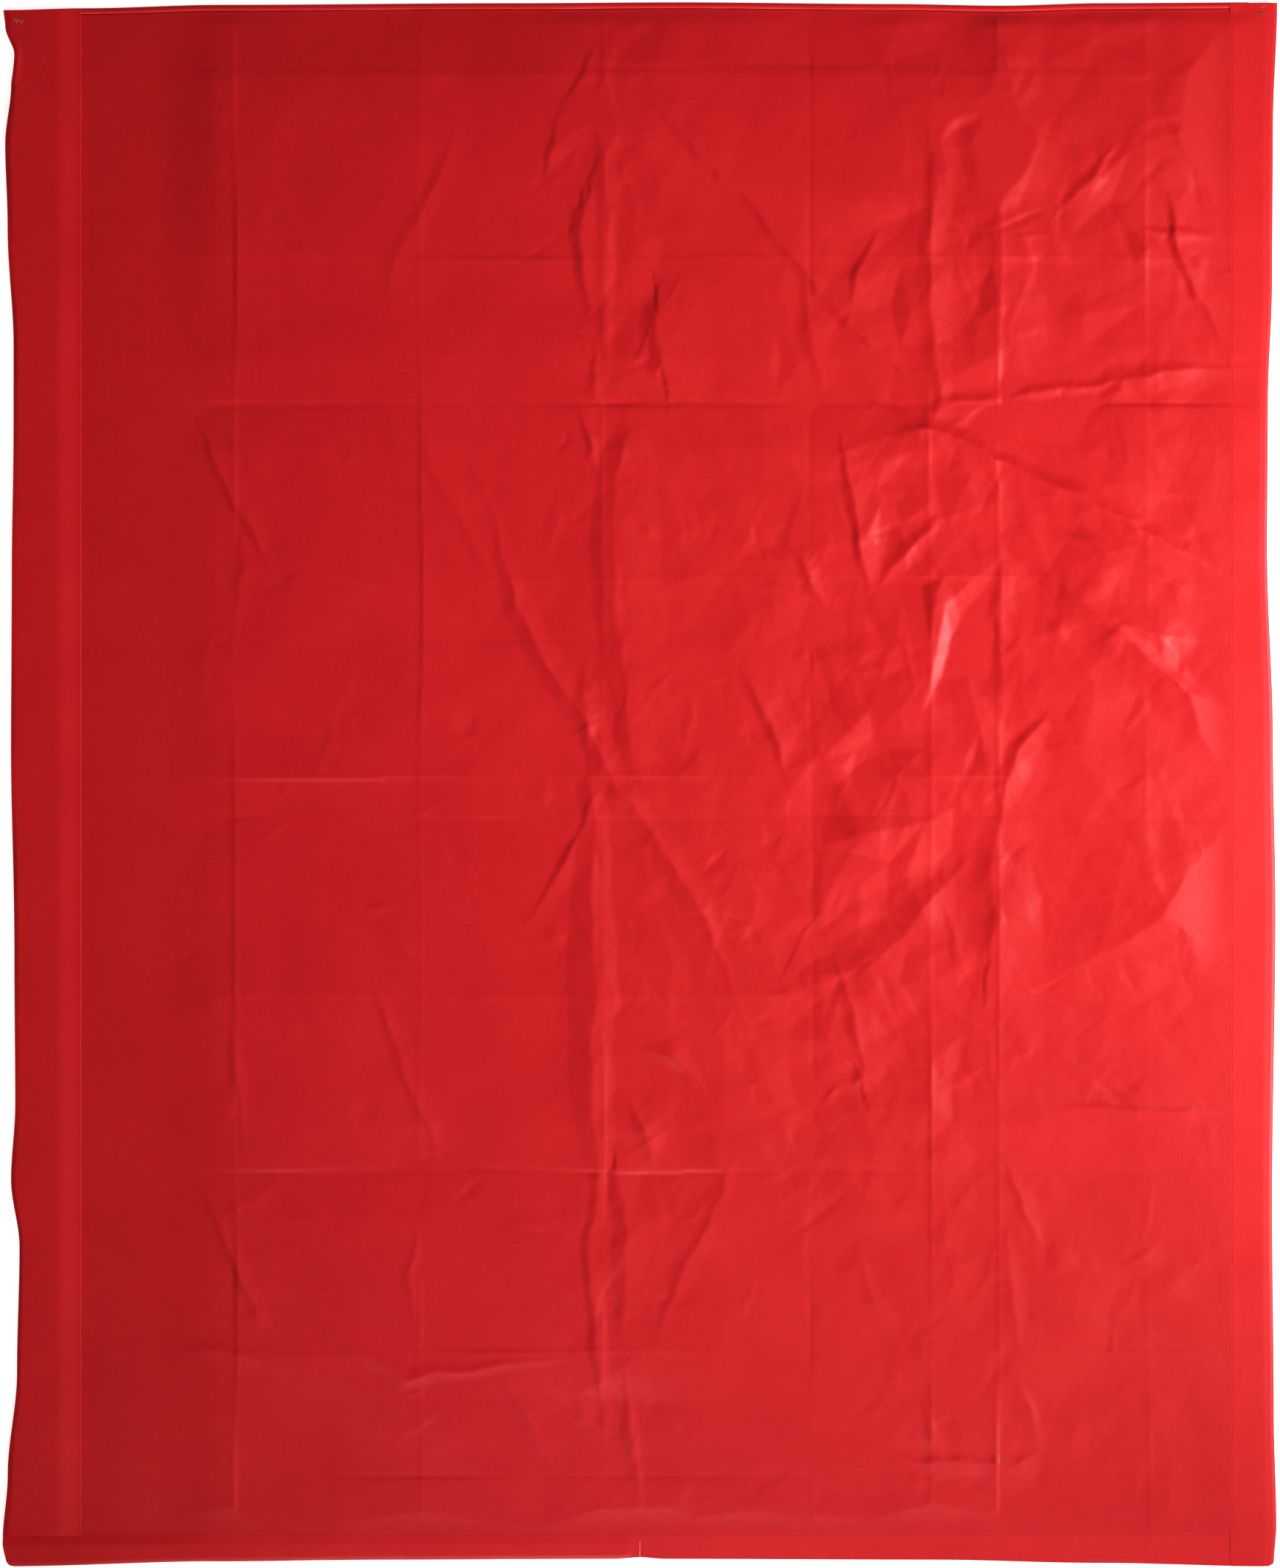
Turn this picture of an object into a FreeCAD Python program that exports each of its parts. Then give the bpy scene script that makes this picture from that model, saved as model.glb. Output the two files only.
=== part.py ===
"""Single rectangular sleeping bag, unzipped and opened out flat with its inside up.

The bag is cut as one wide blanket that closes along its middle. Here it lies open: the left
half carries the draft flap and the zip sliders, the right half folds over it about the middle.
Millimetres. X runs across the open bag, Y towards the head end, Z up from the ground.
The origin is under the middle of the bag, on the ground.
"""
import FreeCAD
import Part
import os

Vector = FreeCAD.Vector

# Overall size of the open bag.
open_width = 1500.0
open_length = 1850.0
fold_gap = 0.5

# Cloth and fill.
shell_thick = 0.6
fill_thick = 3.6
lining_thick = 0.6
facing_thick = 0.6
flap_thick = 0.6
head_hem_width = 8.0

# Where the fill stops, measured in from the edge of the open bag.
fill_head_inset = 26.0
fill_foot_inset = 38.0
fill_flap_side_inset = 90.0
fill_free_side_inset = 49.0
fill_corner = 15.0

# Zip: a coil on a cloth tape along one side and the foot of each half.
zip_inset = 17.0
zip_corner = 40.0
coil_width = 3.4
coil_height = 2.2
tape_thick = 0.6
tape_lip = 1.0
tape_free = 8.0
tape_lap = 6.0
tape_lining_gap = 0.5
tape_head_inset = 14.0
tape_fold_inset = 4.0
coil_head_inset = 20.0
coil_fold_inset = 14.0

# Facings that cover the zip, and the binding that holds its tape under the flap.
side_facing_width = 49.0
foot_facing_width = 36.0
facing_step_inset = 27.0
facing_corner = 12.0
binding_width = 28.0
free_foot_corner = 6.0

# Draft flap, sewn down along its root and loose along its outer edge.
flap_width = 86.0
flap_corner = 6.0
flap_root_gap = 0.3
flap_turned_gap = 0.6
seam_strip_width = 8.0
seam_strip_drop = 0.25

# Clearances.
running_gap = 0.3
fold_clear = 0.6
butt_gap = 0.5

# Slider, wide enough for both coils.
slider_length = 13.0
slider_width = 11.0
slider_plate = 0.9
slider_rim = 0.6
post_width = 1.8
post_length = 4.5
bridge_width = 1.6
bridge_span = 2.8
bridge_wall = 1.0
bridge_bar = 0.45
ground_gap = 0.2

# Pull tab, a flat tongue with two arms on a cross bar.
pull_bar_radius = 0.45
pull_bar_gap = 0.1
pull_arm_width = 1.1
pull_root = 3.4
pull_length = 26.0
pull_width = 6.4
pull_hole_radius = 1.6

# Where the two sliders are parked, from the foot end and from the fold.
side_slider_foot_inset = 70.0
foot_slider_fold_inset = 30.0

# Zip ends.
stop_length = 4.0
stop_width = 4.4
stop_height = 2.6
box_width = 7.0
box_height = 3.4
pin_length = 12.0
pin_width = 2.6
pin_height = 2.0

# Thread, drawn as one bead per row of stitches.
thread_width = 0.8
thread_height = 0.25
thread_inset = 2.5
bar_tack_length = 11.0
bar_tack_width = 1.6
bar_tack_height = 0.3
bar_tack_side_inset = 13.0
bar_tack_head_inset = 15.0

# Levels above the ground, worked out from the layers.
half_width = open_width / 2
half_length = open_length / 2
half_gap = fold_gap / 2
lining_low = shell_thick + fill_thick
lining_top = lining_low + lining_thick
facing_low = max(lining_top, lining_low + tape_thick)
coil_mid = lining_low + tape_thick / 2
coil_low = coil_mid - coil_height / 2
coil_top = coil_mid + coil_height / 2
slider_top = coil_top + running_gap + slider_plate
slider_low = coil_low - running_gap - slider_plate
free_facing_low = coil_top + running_gap
slider_cover_low = slider_top + running_gap
flap_top = slider_cover_low + flap_thick
flap_axis_z = (lining_top + flap_turned_gap + flap_top) / 2
free_facing_top = free_facing_low + facing_thick
cover_top = max(flap_top, slider_cover_low + facing_thick)
fold_axis_z = (cover_top + free_facing_top + fold_clear) / 2 + bar_tack_height
pull_axis_z = ground_gap + bridge_bar + pull_bar_gap + pull_bar_radius

# Insets of the sewn edge, worked out from the zip.
edge_inset = zip_inset + tape_free
edge_corner = zip_corner - tape_free
tape_inner_inset = edge_inset + tape_lap
tape_inner_corner = edge_corner - tape_lap
slider_offset = coil_width / 2 + running_gap + post_width / 2


def panel(side_inset, foot_inset, head_inset, fold_inset, corner, low, high):
    """A flat layer of the left half with its outer foot corner rounded."""
    side = side_inset - half_width
    foot = foot_inset - half_length
    head = half_length - head_inset
    bend = corner * (1 - 0.5 ** 0.5)
    a = Vector(side + corner, foot, low)
    b = Vector(-fold_inset, foot, low)
    c = Vector(-fold_inset, head, low)
    d = Vector(side, head, low)
    e = Vector(side, foot + corner, low)
    middle = Vector(side + bend, foot + bend, low)
    edges = [Part.LineSegment(p, q).toShape() for p, q in ((a, b), (b, c), (c, d), (d, e))]
    edges.append(Part.Arc(e, middle, a).toShape())
    return Part.Face(Part.Wire(edges)).extrude(Vector(0, 0, high - low))


def zip_band(outside, inside, head_inset, fold_inset, low, high):
    """A layer that follows the zip line, from outside it to inside it."""
    outer = zip_inset - outside
    inner = zip_inset + inside
    whole = panel(outer, outer, head_inset, fold_inset, zip_corner + outside, low, high)
    rest = panel(inner, inner, head_inset - 1, fold_inset - 1, zip_corner - inside, low, high)
    return whole.cut(rest)


def block(x_low, x_high, y_low, y_high, z_low, z_high):
    """A rectangular block between the given planes."""
    size = (x_high - x_low, y_high - y_low, z_high - z_low)
    return Part.makeBox(*size, Vector(x_low, y_low, z_low))


def right(shape):
    """The same piece on the right half."""
    return shape.mirror(Vector(0, 0, 0), Vector(1, 0, 0))


def outer_shell():
    return panel(edge_inset, edge_inset, head_hem_width, half_gap, edge_corner, 0, shell_thick)


def fill_batt(side_inset):
    return panel(
        side_inset, fill_foot_inset, fill_head_inset, half_gap, fill_corner, shell_thick, lining_low
    )


def edge_allowance(side_inset):
    """The turned-in cloth between shell and lining, round three sides of the fill."""
    whole = panel(
        edge_inset, edge_inset, head_hem_width, half_gap, edge_corner, shell_thick, lining_low
    )
    return whole.cut(fill_batt(side_inset))


def lining():
    inset = tape_inner_inset + tape_lining_gap
    corner = tape_inner_corner - tape_lining_gap
    return panel(inset, inset, head_hem_width, half_gap, corner, lining_low, lining_top)


def head_hem():
    """The rolled hem across the open end, round on its outer side."""
    inner = half_length - head_hem_width
    round_centre = half_length - lining_top / 2
    start = edge_inset - half_width
    a = Vector(start, inner, 0)
    b = Vector(start, round_centre, 0)
    c = Vector(start, half_length, lining_top / 2)
    d = Vector(start, round_centre, lining_top)
    e = Vector(start, inner, lining_top)
    edges = [Part.LineSegment(a, b).toShape(), Part.Arc(b, c, d).toShape()]
    edges += [Part.LineSegment(d, e).toShape(), Part.LineSegment(e, a).toShape()]
    return Part.Face(Part.Wire(edges)).extrude(Vector(-half_gap - start, 0, 0))


def zip_tape():
    return zip_band(
        tape_lip, tape_free + tape_lap, tape_head_inset, tape_fold_inset, lining_low,
        lining_low + tape_thick,
    )


def zip_coil():
    """The coil, with the tape's edge held in its middle."""
    reach = coil_width / 2
    coil = zip_band(reach, reach, coil_head_inset, coil_fold_inset, coil_low, coil_top)
    return coil.cut(zip_tape())


def top_stop():
    """A clip on the tape at the head end of the coil."""
    x = zip_inset - half_width
    y = half_length - coil_head_inset
    clip = block(
        x - stop_width / 2, x + stop_width / 2, y, y + stop_length,
        coil_mid - stop_height / 2, coil_mid + stop_height / 2,
    )
    return clip.cut(zip_tape())


def fold_end_block(length, width, height, side_reach):
    """A block on the tape past the coil's end at the fold, reaching side_reach inside the zip line."""
    y = zip_inset - half_length + side_reach
    whole = block(
        -coil_fold_inset, length - coil_fold_inset, y - width, y,
        coil_mid - height / 2, coil_mid + height / 2,
    )
    return whole.cut(zip_tape())


def retainer_box():
    length = coil_fold_inset - tape_fold_inset
    return fold_end_block(length, box_width, box_height, coil_width / 2)


def insertion_pin():
    length = min(pin_length, coil_fold_inset - half_gap)
    return right(fold_end_block(length, pin_width, pin_height, tape_lip))


def stepped_facing(side_width, low, corner):
    """A facing sewn down on the lining that steps up over the coil on its outer side."""
    step = facing_step_inset
    step_corner = zip_corner - (step - zip_inset)
    top = low + facing_thick
    wall = facing_thick
    cover = panel(0, 0, 0, half_gap, corner, low, top)
    cover = cover.cut(panel(step, step, -1, half_gap - 1, step_corner, low, top))
    riser = panel(step, step, 0, half_gap, step_corner, facing_low, top)
    inside = (step + wall, step + wall, -1, half_gap - 1, step_corner - wall)
    riser = riser.cut(panel(*inside, facing_low, top))
    sewn = panel(step, step, 0, half_gap, step_corner, facing_low, facing_low + wall)
    edge = (side_width, foot_facing_width, -1, half_gap - 1, facing_corner)
    sewn = sewn.cut(panel(*edge, facing_low, facing_low + wall))
    return cover.fuse([riser, sewn]).removeSplitter()


def foot_zone(x_low):
    """The part of the left half's foot end from x_low to the fold."""
    foot_line = foot_facing_width - half_length
    return block(x_low, -half_gap, -half_length, foot_line, 0, cover_top)


def foot_facing_left():
    """Runs the full width, because the flap stops above it."""
    facing = stepped_facing(side_facing_width, slider_cover_low, flap_corner)
    return facing.common(foot_zone(-half_width))


def foot_facing_right():
    facing = stepped_facing(side_facing_width, free_facing_low, free_foot_corner)
    return right(facing.common(foot_zone(side_facing_width + butt_gap - half_width)))


def side_facing_right():
    """Runs the full length and covers the corner."""
    facing = stepped_facing(side_facing_width, free_facing_low, free_foot_corner)
    zone = block(
        -half_width, side_facing_width - half_width, -half_length, half_length, 0, cover_top
    )
    return right(facing.common(zone))


def tape_binding():
    """The strip under the flap that holds the tape to the shell and the lining."""
    x = edge_inset + 1 - half_width
    foot = foot_facing_width + butt_gap - half_length
    head = half_length - tape_head_inset
    return block(x, x + binding_width, foot, head, facing_low, facing_low + facing_thick)


def flap_seam_strip():
    """The seam ridge that carries the flap's root."""
    x = flap_width - half_width
    foot = foot_facing_width + butt_gap - half_length
    top = flap_axis_z - seam_strip_drop
    return block(x - seam_strip_width, x, foot, half_length, lining_top, top)


def draft_flap():
    root = half_width - flap_width + flap_root_gap
    foot = foot_facing_width + butt_gap
    return panel(0, foot, 0, root, flap_corner, slider_cover_low, flap_top)


def thread(x_low, x_high, y_low, y_high, low):
    """One row of stitches lying on the surface at low."""
    return block(x_low, x_high, y_low, y_high, low, low + thread_height)


def head_stitching(side_inset):
    y = half_length - head_hem_width - thread_inset
    return thread(side_inset - half_width, -half_gap, y, y + thread_width, lining_top)


def binding_stitching():
    """Two rows down the binding, through tape and shell."""
    x = edge_inset + 1 - half_width
    foot = foot_facing_width + butt_gap - half_length
    head = half_length - tape_head_inset
    top = facing_low + facing_thick
    rows = (x + thread_inset, x + binding_width - thread_inset)
    return Part.makeCompound([thread(row, row + thread_width, foot, head, top) for row in rows])


def foot_stitching(side_inset):
    y = foot_facing_width - thread_inset - half_length
    top = facing_low + facing_thick
    return thread(side_inset - half_width, -half_gap, y - thread_width, y, top)


def side_stitching_right():
    x = side_facing_width - thread_inset - half_width
    top = facing_low + facing_thick
    foot = foot_facing_width - half_length
    return right(thread(x - thread_width, x, foot, half_length, top))


def flap_stitching():
    """The row that closes the flap's seam, on the lining beside the seam ridge."""
    x = flap_width - half_width - seam_strip_width - thread_inset
    foot = foot_facing_width + butt_gap - half_length
    return thread(x - thread_width, x, foot, half_length, lining_top)


def bar_tack(low):
    """A bar of tight stitches at the head corner of a flap or facing."""
    x = bar_tack_side_inset - half_width
    y = half_length - bar_tack_head_inset
    half = bar_tack_length / 2
    return block(x - half, x + half, y, y + bar_tack_width, low, low + bar_tack_height)


def slider_plates():
    """Top and bottom plates with their turned-in rims and the post between them."""
    half = slider_length / 2
    inner = slider_offset - slider_width / 2
    outer = slider_offset + slider_width / 2
    tape_top = lining_low + tape_thick + running_gap
    tape_low = lining_low - running_gap
    bottom_top = slider_low + slider_plate
    top_low = slider_top - slider_plate
    pieces = [block(-half, half, inner, outer, slider_low, bottom_top)]
    pieces.append(block(-half, half, inner, outer, top_low, slider_top))
    for edge in (inner, outer - slider_rim):
        pieces.append(block(-half, half, edge, edge + slider_rim, bottom_top, tape_low))
        pieces.append(block(-half, half, edge, edge + slider_rim, tape_top, top_low))
    post = (slider_offset - post_width / 2, slider_offset + post_width / 2)
    pieces.append(block(half - post_length, half, *post, bottom_top, top_low))
    return pieces


def slider_bridge():
    """The small arch under the slider that holds the pull's cross bar."""
    side = (slider_offset - bridge_width / 2, slider_offset + bridge_width / 2)
    inside = bridge_span / 2
    outside = inside + bridge_wall
    pieces = [block(-outside, outside, *side, ground_gap, ground_gap + bridge_bar)]
    for start in (-outside, inside):
        pieces.append(block(start, start + bridge_wall, *side, ground_gap, slider_low))
    return pieces


def slider():
    """A slider on a straight stretch of coil, X along the coil and +Y out of the bag."""
    pieces = slider_plates() + slider_bridge()
    return pieces[0].fuse(pieces[1:]).removeSplitter()


def pull():
    """The pull tab of that slider, lying along +X under the zip."""
    thick = 2 * pull_bar_radius
    low = pull_axis_z - pull_bar_radius
    arm_gap = bridge_width / 2 + running_gap
    reach = arm_gap + pull_arm_width
    start = Vector(0, slider_offset - reach, pull_axis_z)
    bar = Part.makeCylinder(pull_bar_radius, 2 * reach, start, Vector(0, 1, 0))
    pieces = []
    for side in (slider_offset - reach, slider_offset + arm_gap):
        pieces.append(block(0, pull_root + 1, side, side + pull_arm_width, low, low + thick))
    half = pull_width / 2
    tongue = block(
        pull_root, pull_length, slider_offset - half, slider_offset + half, low, low + thick
    )
    end = pull_length - 2 * pull_hole_radius
    hole = Part.makeCylinder(pull_hole_radius, thick, Vector(end, slider_offset, low))
    return bar.fuse(pieces + [tongue]).cut(hole).removeSplitter()


def on_side(shape):
    """Puts a slider piece at its parking place on the side zip, its length towards the head."""
    shape.rotate(Vector(0, 0, 0), Vector(0, 0, 1), 90)
    shape.translate(Vector(zip_inset - half_width, side_slider_foot_inset - half_length, 0))
    return shape


def on_foot(shape):
    """Puts a slider piece at its parking place on the foot zip, its length away from the fold."""
    shape.rotate(Vector(0, 0, 0), Vector(0, 0, 1), 180)
    shape.translate(Vector(-foot_slider_fold_inset, zip_inset - half_length, 0))
    return shape


def nodes():
    """Every piece by name."""
    return {
        "outer_shell_left": outer_shell(),
        "fill_batt_left": fill_batt(fill_flap_side_inset),
        "edge_allowance_left": edge_allowance(fill_flap_side_inset),
        "lining_left": lining(),
        "head_hem_left": head_hem(),
        "zip_tape_left": zip_tape(),
        "zip_coil_left": zip_coil(),
        "top_stop_left": top_stop(),
        "retainer_box": retainer_box(),
        "tape_binding_left": tape_binding(),
        "foot_facing_left": foot_facing_left(),
        "flap_seam_strip": flap_seam_strip(),
        "head_stitching_left": head_stitching(flap_width),
        "binding_stitching_left": binding_stitching(),
        "foot_stitching_left": foot_stitching(side_facing_width),
        "flap_stitching": flap_stitching(),
        "draft_flap": draft_flap(),
        "flap_bar_tack": bar_tack(flap_top),
        "outer_shell_right": right(outer_shell()),
        "fill_batt_right": right(fill_batt(fill_free_side_inset)),
        "edge_allowance_right": right(edge_allowance(fill_free_side_inset)),
        "lining_right": right(lining()),
        "head_hem_right": right(head_hem()),
        "zip_tape_right": right(zip_tape()),
        "zip_coil_right": right(zip_coil()),
        "top_stop_right": right(top_stop()),
        "insertion_pin": insertion_pin(),
        "side_facing_right": side_facing_right(),
        "foot_facing_right": foot_facing_right(),
        "head_stitching_right": right(head_stitching(side_facing_width)),
        "side_stitching_right": side_stitching_right(),
        "foot_stitching_right": right(foot_stitching(side_facing_width + butt_gap)),
        "side_bar_tack": right(bar_tack(free_facing_top)),
        "side_slider": on_side(slider()),
        "side_pull": on_side(pull()),
        "foot_slider": on_foot(slider()),
        "foot_pull": on_foot(pull()),
    }


os.makedirs("parts", exist_ok=True)
for name, shape in nodes().items():
    shape.exportStep(f"parts/{name}.step")
    box = shape.BoundBox
    print(f"{name}: {len(shape.Solids)} solid, {shape.isValid()}, z {box.ZMin:.2f} to {box.ZMax:.2f}")
print(f"fold axis z {fold_axis_z:.3f}, flap axis x {flap_width - half_width:.3f} z {flap_axis_z:.3f}")
print(f"pull axis z {pull_axis_z:.3f}")
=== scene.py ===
"""Looks of the rectangular sleeping bag, opened out flat with its inside up.

Metres, in the CAD model's frame: X across the bag, Y to the head end, Z up.
"""
import math

import bpy
import numpy as np
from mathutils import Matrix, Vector
from mathutils.geometry import delaunay_2d_cdt


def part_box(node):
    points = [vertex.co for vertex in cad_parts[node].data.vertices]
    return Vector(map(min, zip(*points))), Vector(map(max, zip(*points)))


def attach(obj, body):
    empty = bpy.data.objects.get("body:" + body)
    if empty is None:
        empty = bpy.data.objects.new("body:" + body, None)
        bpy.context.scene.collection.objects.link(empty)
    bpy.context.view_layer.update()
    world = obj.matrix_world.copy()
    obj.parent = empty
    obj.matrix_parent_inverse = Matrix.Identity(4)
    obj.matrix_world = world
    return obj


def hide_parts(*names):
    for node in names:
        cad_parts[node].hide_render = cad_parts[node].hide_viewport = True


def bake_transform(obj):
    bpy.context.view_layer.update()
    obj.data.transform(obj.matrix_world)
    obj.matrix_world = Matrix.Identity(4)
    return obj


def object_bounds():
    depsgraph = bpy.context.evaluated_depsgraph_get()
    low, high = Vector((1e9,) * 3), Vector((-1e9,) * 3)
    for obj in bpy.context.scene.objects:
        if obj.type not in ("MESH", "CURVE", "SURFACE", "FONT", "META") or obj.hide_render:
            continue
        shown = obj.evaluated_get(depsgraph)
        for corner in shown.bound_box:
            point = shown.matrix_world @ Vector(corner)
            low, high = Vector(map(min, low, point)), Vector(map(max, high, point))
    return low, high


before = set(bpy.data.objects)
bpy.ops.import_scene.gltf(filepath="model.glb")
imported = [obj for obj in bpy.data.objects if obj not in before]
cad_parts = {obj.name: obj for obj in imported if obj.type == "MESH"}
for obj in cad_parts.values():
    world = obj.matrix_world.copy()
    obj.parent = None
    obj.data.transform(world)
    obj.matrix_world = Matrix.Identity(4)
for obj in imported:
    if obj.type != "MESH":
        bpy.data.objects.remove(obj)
cad_low, cad_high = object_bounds()

# How fine the creased cloth is, how thick each cloth is, and the seed of every random draw.
PITCH = 0.0026
CLOTH = 0.0003
SEED = 11

# Places read from the frame.
HALF_WIDTH = cad_high.x
HALF_LENGTH = cad_high.y
LINING_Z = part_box("lining_left")[0].z + CLOTH
LINING_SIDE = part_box("lining_right")[1].x
LINING_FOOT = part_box("lining_left")[0].y
HEM_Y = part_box("head_hem_left")[0].y
HEM_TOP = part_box("head_hem_left")[1].z
SHELL_EDGE_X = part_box("outer_shell_right")[1].x
SHELL_EDGE_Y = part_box("outer_shell_right")[0].y
ALLOWANCE_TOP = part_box("edge_allowance_left")[1].z
FLAP_ROOT_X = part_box("draft_flap")[1].x
FLAP_FOOT_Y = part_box("draft_flap")[0].y
FLAP_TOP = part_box("draft_flap")[1].z
FACING_IN_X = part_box("side_facing_right")[0].x
FACING_IN_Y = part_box("foot_facing_left")[1].y
COVER_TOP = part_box("foot_facing_left")[1].z
FREE_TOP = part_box("side_facing_right")[1].z

# How far strips stay clear of the lining, of each other at the middle and of the head end, and how
# far one goes under or over the next at a corner.
SIDE_CLEAR = 0.00008
FOOT_CLEAR = 0.00015
HEAD_CLEAR = 0.0012
CORNER_LAP = 0.004

# The zip and its stitching.
COIL_WIDTH = 0.0034
COIL_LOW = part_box("zip_coil_left")[0].z
COIL_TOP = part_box("zip_coil_left")[1].z
ZIP_CORNER = 0.040
THREAD = 0.00024
STITCH_PITCH = 0.0033
STITCH_SIDES = 6
# The rings that one stitch is drawn through: place along it, share of its thickness, and rise.
STITCH = ((-0.42, 0.45, -0.30), (-0.25, 1, 0), (0.25, 1, 0), (0.42, 0.45, -0.30))

# Where the shell and the fill bend when the bag folds over.
FOLD_COLUMNS = np.linspace(-0.012, 0.012, 13)
FOLD_CLEAR = 0.014


# ---------------------------------------------------------------- numbers

def smooth(t):
    """0 to 1 with no kink at the ends."""
    t = np.clip(t, 0, 1)
    return t * t * (3 - 2 * t)


def between(table, i, j, s, t):
    """A table read part of the way from one entry to the next, both ways."""
    low = table[j, i] * (1 - s) + table[j, i + 1] * s
    high = table[j + 1, i] * (1 - s) + table[j + 1, i + 1] * s
    return low * (1 - t) + high * t


def noise(x, y, cell, seed):
    """Smooth noise from -1 to 1, with bumps about cell across."""
    rng = np.random.default_rng(SEED * 1000 + seed)
    table = rng.uniform(-1, 1, (256, 256))
    u, v = x / cell + 64, y / cell + 64
    i, j = np.floor(u).astype(int), np.floor(v).astype(int)
    s, t = smooth(u - i), smooth(v - j)
    return between(table, i % 255, j % 255, s, t)


def along(points, at):
    """A smooth curve through (place, value) points, read at places."""
    places, values = np.array(points, float).T
    k = np.clip(np.searchsorted(places, at) - 1, 0, len(places) - 2)
    t = smooth((at - places[k]) / (places[k + 1] - places[k]))
    return values[k] * (1 - t) + values[k + 1] * t


def facets(xs, ys, cell, seed):
    """Flat triangles between random points about cell apart, as crumpled film has."""
    rng = np.random.default_rng(SEED * 1000 + seed)
    cols = np.arange(xs[0] - cell, xs[-1] + 2 * cell, cell)
    rows = np.arange(ys[0] - cell, ys[-1] + 2 * cell, cell)
    px, py = np.meshgrid(cols, rows)
    px = px + rng.uniform(-0.45, 0.45, px.shape) * cell
    py = py + rng.uniform(-0.45, 0.45, py.shape) * cell
    points = np.stack([px.ravel(), py.ravel()], 1)
    heights = rng.normal(0, 1, len(points))
    found = delaunay_2d_cdt([Vector(p) for p in points], [], [], 0, 1e-7)
    corners = np.array([tuple(v) for v in found[0]])
    tall = heights[[o[0] for o in found[3]]]
    out = np.zeros((len(ys), len(xs)))
    step = xs[1] - xs[0]
    for face in found[2]:
        a, b, c = corners[list(face)]
        i0, j0 = (np.minimum(np.minimum(a, b), c) - (xs[0], ys[0])) / step
        i1, j1 = (np.maximum(np.maximum(a, b), c) - (xs[0], ys[0])) / step
        i0, j0 = max(int(i0), 0), max(int(j0), 0)
        i1, j1 = min(int(i1) + 2, len(xs)), min(int(j1) + 2, len(ys))
        if i1 <= i0 or j1 <= j0:
            continue
        gx, gy = xs[None, i0:i1], ys[j0:j1, None]
        area = (b[0] - a[0]) * (c[1] - a[1]) - (c[0] - a[0]) * (b[1] - a[1])
        wb = ((gx - a[0]) * (c[1] - a[1]) - (c[0] - a[0]) * (gy - a[1])) / area
        wc = ((b[0] - a[0]) * (gy - a[1]) - (gx - a[0]) * (b[1] - a[1])) / area
        inside = (wb >= -1e-6) & (wc >= -1e-6) & (wb + wc <= 1 + 1e-6)
        ha, hb, hc = tall[list(face)]
        out[j0:j1, i0:i1][inside] = (ha + wb * (hb - ha) + wc * (hc - ha))[inside]
    return out


# ---------------------------------------------------------------- folds and creases

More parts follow.
